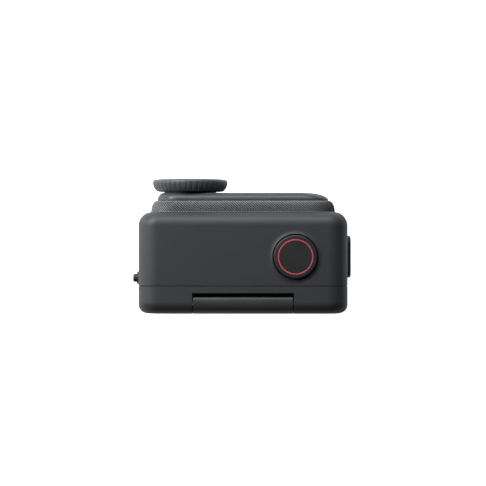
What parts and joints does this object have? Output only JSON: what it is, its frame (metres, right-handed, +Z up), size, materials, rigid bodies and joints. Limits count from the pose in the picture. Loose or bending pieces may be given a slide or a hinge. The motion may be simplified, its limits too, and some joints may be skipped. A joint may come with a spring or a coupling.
{
  "type": "action camera",
  "caption": "Boxy action camera with a round twist-off lens guard, a flip-up rear touch screen, a round shutter button, a side power button and a pull-out battery.",
  "frame": {"origin": "centre of the tripod socket's mouth, at the middle of the underside", "axes": "+Z up, towards the shutter button; the lens looks along -Y and the screen faces +Y; +X is the lens side, with the power button and the port door"},
  "size_m": [0.0726, 0.0449, 0.0522],
  "materials": {
    "housing_grey": "fine matte grain",
    "dark_plastic": "fine matte grain",
    "dark_metal": "dark anodised",
    "gloss_black": "gloss",
    "rubber_black": "matte",
    "steel": "satin",
    "aluminium": "satin",
    "contact_brass": "polished",
    "board_green": "solder mask",
    "clear_glass": "coated, polished",
    "red_ring": "satin",
    "light_window": "diffusing"
  },
  "bodies": {
    "camera_body": {"main_housing": "housing_grey", "rear_housing": "housing_grey", "housing_gasket": "rubber_black", "cooling_band": "housing_grey", "front_plate": "housing_grey", "lens_bezel": "gloss_black", "lens_holder": "dark_plastic", "lens_barrel": "gloss_black", "front_lens_element": "clear_glass", "inner_lens_elements": "clear_glass", "ir_filter": "clear_glass", "image_sensor": "board_green", "sensor_board": "board_green", "main_board": "board_green", "board_chips": "gloss_black", "heat_spreader": "aluminium", "battery_bay": "dark_plastic", "battery_contacts": "contact_brass", "usb_port": "steel", "card_socket": "dark_plastic", "memory_card": "gloss_black", "speaker": "dark_plastic", "microphones": "contact_brass", "wifi_antenna": "contact_brass", "status_light": "light_window", "shutter_seal": "rubber_black", "shutter_switch": "steel", "power_button_collar": "dark_plastic", "power_switch": "steel", "base_plate": "dark_plastic", "tripod_insert": "contact_brass", "base_magnets": "steel", "base_screws": "steel", "housing_screws": "steel", "hinge_pin": "steel", "hinge_friction_washers": "steel", "usb_door_pin": "steel", "rear_board": "board_green", "shutter_return_spring": "rubber_black"},
    "flip_screen": {"hinge_arm": "dark_metal", "screen_shell": "housing_grey", "screen_glass": "gloss_black", "display_panel": "board_green", "screen_driver_board": "board_green", "hinge_arm_screws": "steel"},
    "shutter_button": {"shutter_cap": "dark_plastic", "shutter_ring": "red_ring", "shutter_clip": "steel"},
    "power_button": {"power_cap": "dark_plastic"},
    "battery": {"battery_cell": "dark_plastic", "battery_cap": "housing_grey", "battery_seal": "rubber_black", "battery_terminals": "contact_brass"},
    "battery_release": {"battery_latch": "dark_plastic"},
    "port_door": {"usb_door": "housing_grey", "usb_door_seal": "rubber_black"},
    "lens_guard": {"guard_seal": "rubber_black", "guard_ring": "dark_metal", "guard_glass": "clear_glass"}
  },
  "joints": [
    {"name": "screen_hinge", "type": "hinge", "parent": "camera_body", "child": "flip_screen", "pos_m": [0, 0.01275, 0.0472], "axis": [1, 0, 0], "range_deg": [0, 180]},
    {"name": "shutter_press", "type": "slide", "parent": "camera_body", "child": "shutter_button", "axis": [0, 0, -1], "range_m": [0, 0.0005], "stiffness_N_per_m": 4000, "springref_m": -0.0002, "deforming": ["shutter_return_spring"]},
    {"name": "power_press", "type": "slide", "parent": "camera_body", "child": "power_button", "axis": [-1, 0, 0], "range_m": [0, 0.0005], "stiffness_N_per_m": 4000, "springref_m": -0.0002},
    {"name": "battery_slide", "type": "slide", "parent": "camera_body", "child": "battery", "axis": [-1, 0, 0], "range_m": [0, 0.045]},
    {"name": "battery_latch_slide", "type": "slide", "parent": "battery", "child": "battery_release", "axis": [0, 0, 1], "range_m": [0, 0.002], "stiffness_N_per_m": 300, "springref_m": -0.0005},
    {"name": "port_door_hinge", "type": "hinge", "parent": "camera_body", "child": "port_door", "pos_m": [0.03355, -0.0106, 0.016], "axis": [0, 0, -1], "range_deg": [0, 95]},
    {"name": "lens_guard_twist", "type": "hinge", "parent": "camera_body", "child": "lens_guard", "pos_m": [0.0176, -0.02345, 0.034], "axis": [0, -1, 0], "range_deg": [0, 60]}
  ]
}
